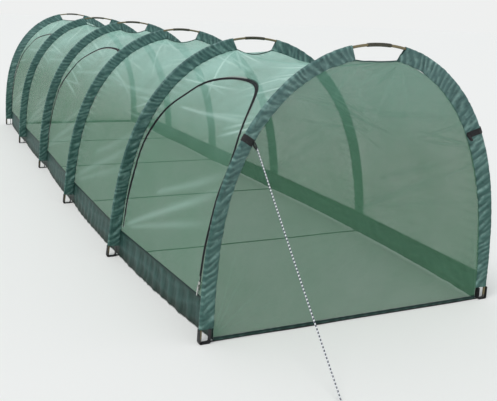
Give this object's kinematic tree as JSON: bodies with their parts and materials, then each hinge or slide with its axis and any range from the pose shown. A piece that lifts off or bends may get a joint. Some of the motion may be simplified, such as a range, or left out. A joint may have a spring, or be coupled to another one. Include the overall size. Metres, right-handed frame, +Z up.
{
  "type": "netting grow tunnel",
  "caption": "Long low tunnel of sprung hoops in gathered sleeves with a fine net cover, zipped arch doors down one side, cloth skirts, foot loops and a guy rope.",
  "frame": {"origin": "on the ground at the middle of the tunnel, half way between its two end hoops and between their feet", "axes": "+Z up; +Y along the tunnel from the front end in the picture to the rear; -X is the side with the zipped doors"},
  "size_m": [1.1312, 4.421, 0.8285],
  "materials": {
    "guy_rope": "white and navy braid",
    "net": "fine see-through green netting",
    "pole_ferrule": "dull plated steel tube",
    "pole_rod": "tan glass-fibre rod, satin",
    "skirt_cloth": "woven dark green cloth",
    "sleeve_cloth": "gathered coated woven cloth, slate teal",
    "webbing": "black woven webbing",
    "zip_slider": "bare cast zinc alloy",
    "zip_tape": "black woven zip tape with moulded teeth"
  },
  "bodies": {
    "tunnel": {"front_end_net": "net", "front_hem": "skirt_cloth", "front_zip_frame_tape": "zip_tape", "ground_cord_1": "webbing", "ground_cord_2": "webbing", "ground_cord_3": "webbing", "ground_cord_4": "webbing", "ground_cord_5": "webbing", "ground_cord_6": "webbing", "guy_knot": "guy_rope", "guy_rope": "guy_rope", "left_guy_band": "webbing", "left_pole_1": "pole_rod", "left_pole_2": "pole_rod", "left_pole_3": "pole_rod", "left_pole_4": "pole_rod", "left_pole_5": "pole_rod", "left_pole_6": "pole_rod", "left_skirt": "skirt_cloth", "middle_zip_frame_tape": "zip_tape", "net_bay_1": "net", "net_bay_2": "net", "net_bay_3": "net", "net_bay_4": "net", "net_bay_5": "net", "pole_ferrule_1": "pole_ferrule", "pole_ferrule_2": "pole_ferrule", "pole_ferrule_3": "pole_ferrule", "pole_ferrule_4": "pole_ferrule", "pole_ferrule_5": "pole_ferrule", "pole_ferrule_6": "pole_ferrule", "pole_sleeve_1": "sleeve_cloth", "pole_sleeve_2": "sleeve_cloth", "pole_sleeve_3": "sleeve_cloth", "pole_sleeve_4": "sleeve_cloth", "pole_sleeve_5": "sleeve_cloth", "pole_sleeve_6": "sleeve_cloth", "rear_end_net": "net", "rear_hem": "skirt_cloth", "rear_zip_frame_tape": "zip_tape", "right_guy_band": "webbing", "right_pole_1": "pole_rod", "right_pole_2": "pole_rod", "right_pole_3": "pole_rod", "right_pole_4": "pole_rod", "right_pole_5": "pole_rod", "right_pole_6": "pole_rod", "right_skirt": "skirt_cloth"},
    "front_door": {"front_door_flap": "net", "front_zip_flap_tape": "zip_tape"},
    "front_slider": {"front_zip_slider": "zip_slider"},
    "front_pull": {"front_zip_pull": "zip_slider"},
    "middle_door": {"middle_door_flap": "net", "middle_zip_flap_tape": "zip_tape"},
    "middle_slider": {"middle_zip_slider": "zip_slider"},
    "middle_pull": {"middle_zip_pull": "zip_slider"},
    "rear_door": {"rear_door_flap": "net", "rear_zip_flap_tape": "zip_tape"},
    "rear_slider": {"rear_zip_slider": "zip_slider"},
    "rear_pull": {"rear_zip_pull": "zip_slider"}
  },
  "joints": [
    {"name": "front_door_hinge", "type": "hinge", "parent": "tunnel", "child": "front_door", "pos_m": [-0.48951, -1.538, 0.116], "axis": [0.0529, -0.9986, 0], "range_deg": [0, 95]},
    {"name": "front_zip_slide", "type": "slide", "parent": "tunnel", "child": "front_slider", "axis": [0.1178, 0, 0.993], "range_m": [0, 0.1]},
    {"name": "front_pull_hinge", "type": "hinge", "parent": "front_slider", "child": "front_pull", "pos_m": [-0.47672, -1.868, 0.12765], "axis": [0, 1, 0], "range_deg": [0, 150]},
    {"name": "middle_door_hinge", "type": "hinge", "parent": "tunnel", "child": "middle_door", "pos_m": [-0.49452, 0.042, 0.116], "axis": [-0.0245, -0.9997, 0], "range_deg": [0, 95]},
    {"name": "middle_zip_slide", "type": "slide", "parent": "tunnel", "child": "middle_slider", "axis": [0.1742, 0, 0.9847], "range_m": [0, 0.1]},
    {"name": "middle_pull_hinge", "type": "hinge", "parent": "middle_slider", "child": "middle_pull", "pos_m": [-0.50636, -0.288, 0.12796], "axis": [0, 1, 0], "range_deg": [0, 150]},
    {"name": "rear_door_hinge", "type": "hinge", "parent": "tunnel", "child": "rear_door", "pos_m": [-0.46714, 1.622, 0.116], "axis": [-0.0222, -0.9998, 0], "range_deg": [0, 95]},
    {"name": "rear_zip_slide", "type": "slide", "parent": "tunnel", "child": "rear_slider", "axis": [0.1218, 0, 0.9926], "range_m": [0, 0.1]},
    {"name": "rear_pull_hinge", "type": "hinge", "parent": "rear_slider", "child": "rear_pull", "pos_m": [-0.47888, 1.292, 0.12767], "axis": [0, 1, 0], "range_deg": [0, 150]}
  ]
}
